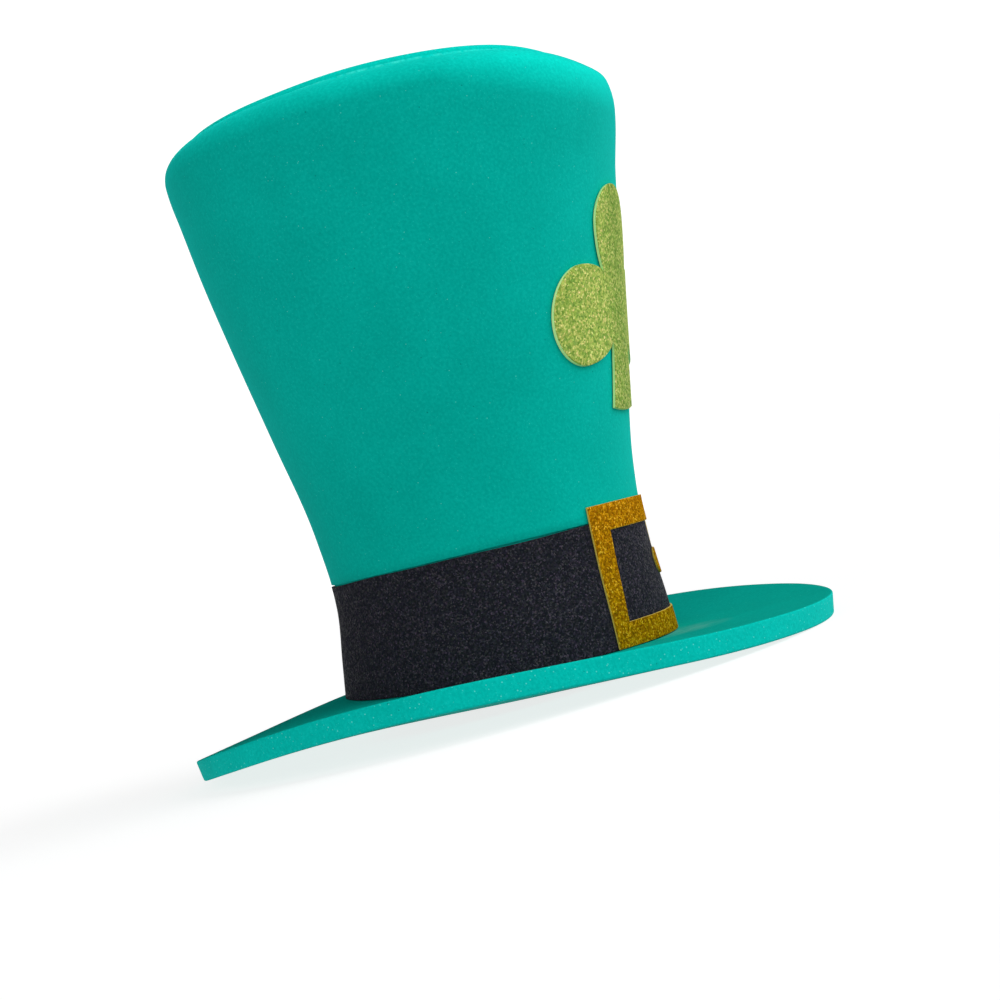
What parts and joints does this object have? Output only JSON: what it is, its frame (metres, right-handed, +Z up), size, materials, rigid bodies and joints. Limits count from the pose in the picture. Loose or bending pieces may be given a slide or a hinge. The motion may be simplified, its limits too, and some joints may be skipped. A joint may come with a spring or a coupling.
{
  "type": "costume top hat",
  "caption": "Tall flared foam top hat with an arched round brim, a hollow crown open below for the head, a wrapped band with a square buckle, and a shamrock on the front.",
  "frame": {"origin": "middle of the bounding box's bottom, on the surface that the front and back of the brim stand on", "axes": "-Y is the front of the hat, with the buckle and the shamrock; -X is the wearer's right; +Z is up, and the crown leans about 2 degrees from it towards the front"},
  "size_m": [0.4328, 0.432, 0.4058],
  "materials": {
    "teal_foam": "soft closed-cell foam with a fine grain",
    "black_glitter": "thin foam with fine black glitter",
    "gold_glitter": "thin foam with gold glitter",
    "green_glitter": "thin foam with yellow-green glitter"
  },
  "bodies": {
    "root": {"brim": "teal_foam", "crown_wall": "teal_foam", "crown_top": "teal_foam", "hat_band": "black_glitter", "buckle_frame": "gold_glitter", "buckle_tongue": "gold_glitter", "shamrock": "green_glitter"}
  },
  "joints": []
}
